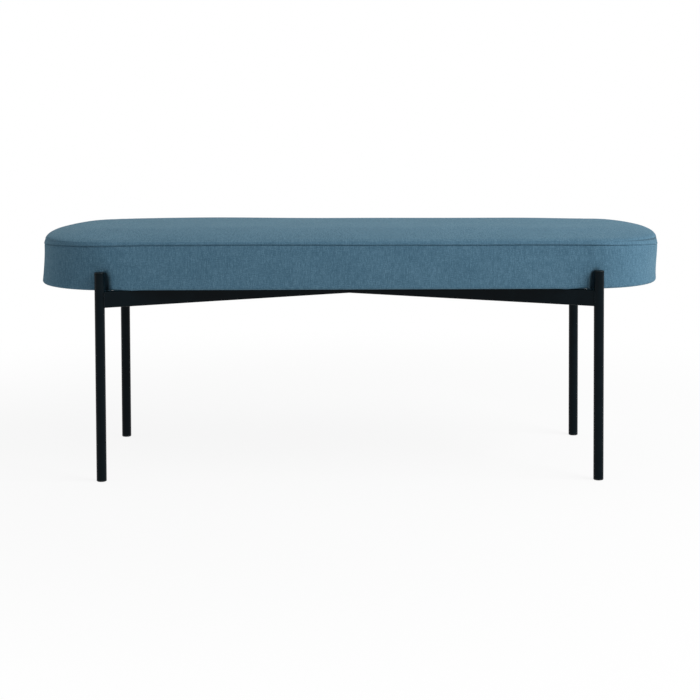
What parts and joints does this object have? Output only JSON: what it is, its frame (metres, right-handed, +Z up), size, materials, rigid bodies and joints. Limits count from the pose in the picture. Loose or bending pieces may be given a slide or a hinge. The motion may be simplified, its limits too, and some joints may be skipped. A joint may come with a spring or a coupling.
{
  "type": "upholstered bench",
  "caption": "Long upholstered bench with rounded ends and a crowned padded seat, on a slim black crossed-bar frame whose round legs stand outside the seat.",
  "frame": {"origin": "on the floor, under the middle of the seat", "axes": "+X to the right along the bench, +Y from the front to the back, +Z up"},
  "size_m": [1.2, 0.4172, 0.4667],
  "materials": {
    "seat_cloth": "woven blue-grey upholstery cloth, matt with a soft sheen",
    "wadding": "white polyester fleece",
    "foam": "open-cell cushion foam",
    "plywood": "raw birch plywood",
    "dust_cloth": "black spun non-woven cloth",
    "black_steel": "satin black powder coat",
    "black_plastic": "black moulded plastic",
    "plated_steel": "zinc-plated steel"
  },
  "bodies": {
    "root": {"cover_top_panel": "seat_cloth", "cover_border": "seat_cloth", "wadding_layer": "wadding", "seat_foam": "foam", "base_board": "plywood", "dust_cover": "dust_cloth", "cross_bar": "black_steel", "half_bar_front_right": "black_steel", "half_bar_rear_left": "black_steel", "leg_welds": "black_steel", "crossing_welds": "black_steel", "seat_bolts": "plated_steel", "bolt_washers": "plated_steel", "tee_nuts": "plated_steel", "leg_front_left": "black_steel", "leg_cap_front_left": "black_plastic", "foot_glide_front_left": "black_plastic", "leg_front_right": "black_steel", "leg_cap_front_right": "black_plastic", "foot_glide_front_right": "black_plastic", "leg_rear_left": "black_steel", "leg_cap_rear_left": "black_plastic", "foot_glide_rear_left": "black_plastic", "leg_rear_right": "black_steel", "leg_cap_rear_right": "black_plastic", "foot_glide_rear_right": "black_plastic"}
  },
  "joints": []
}
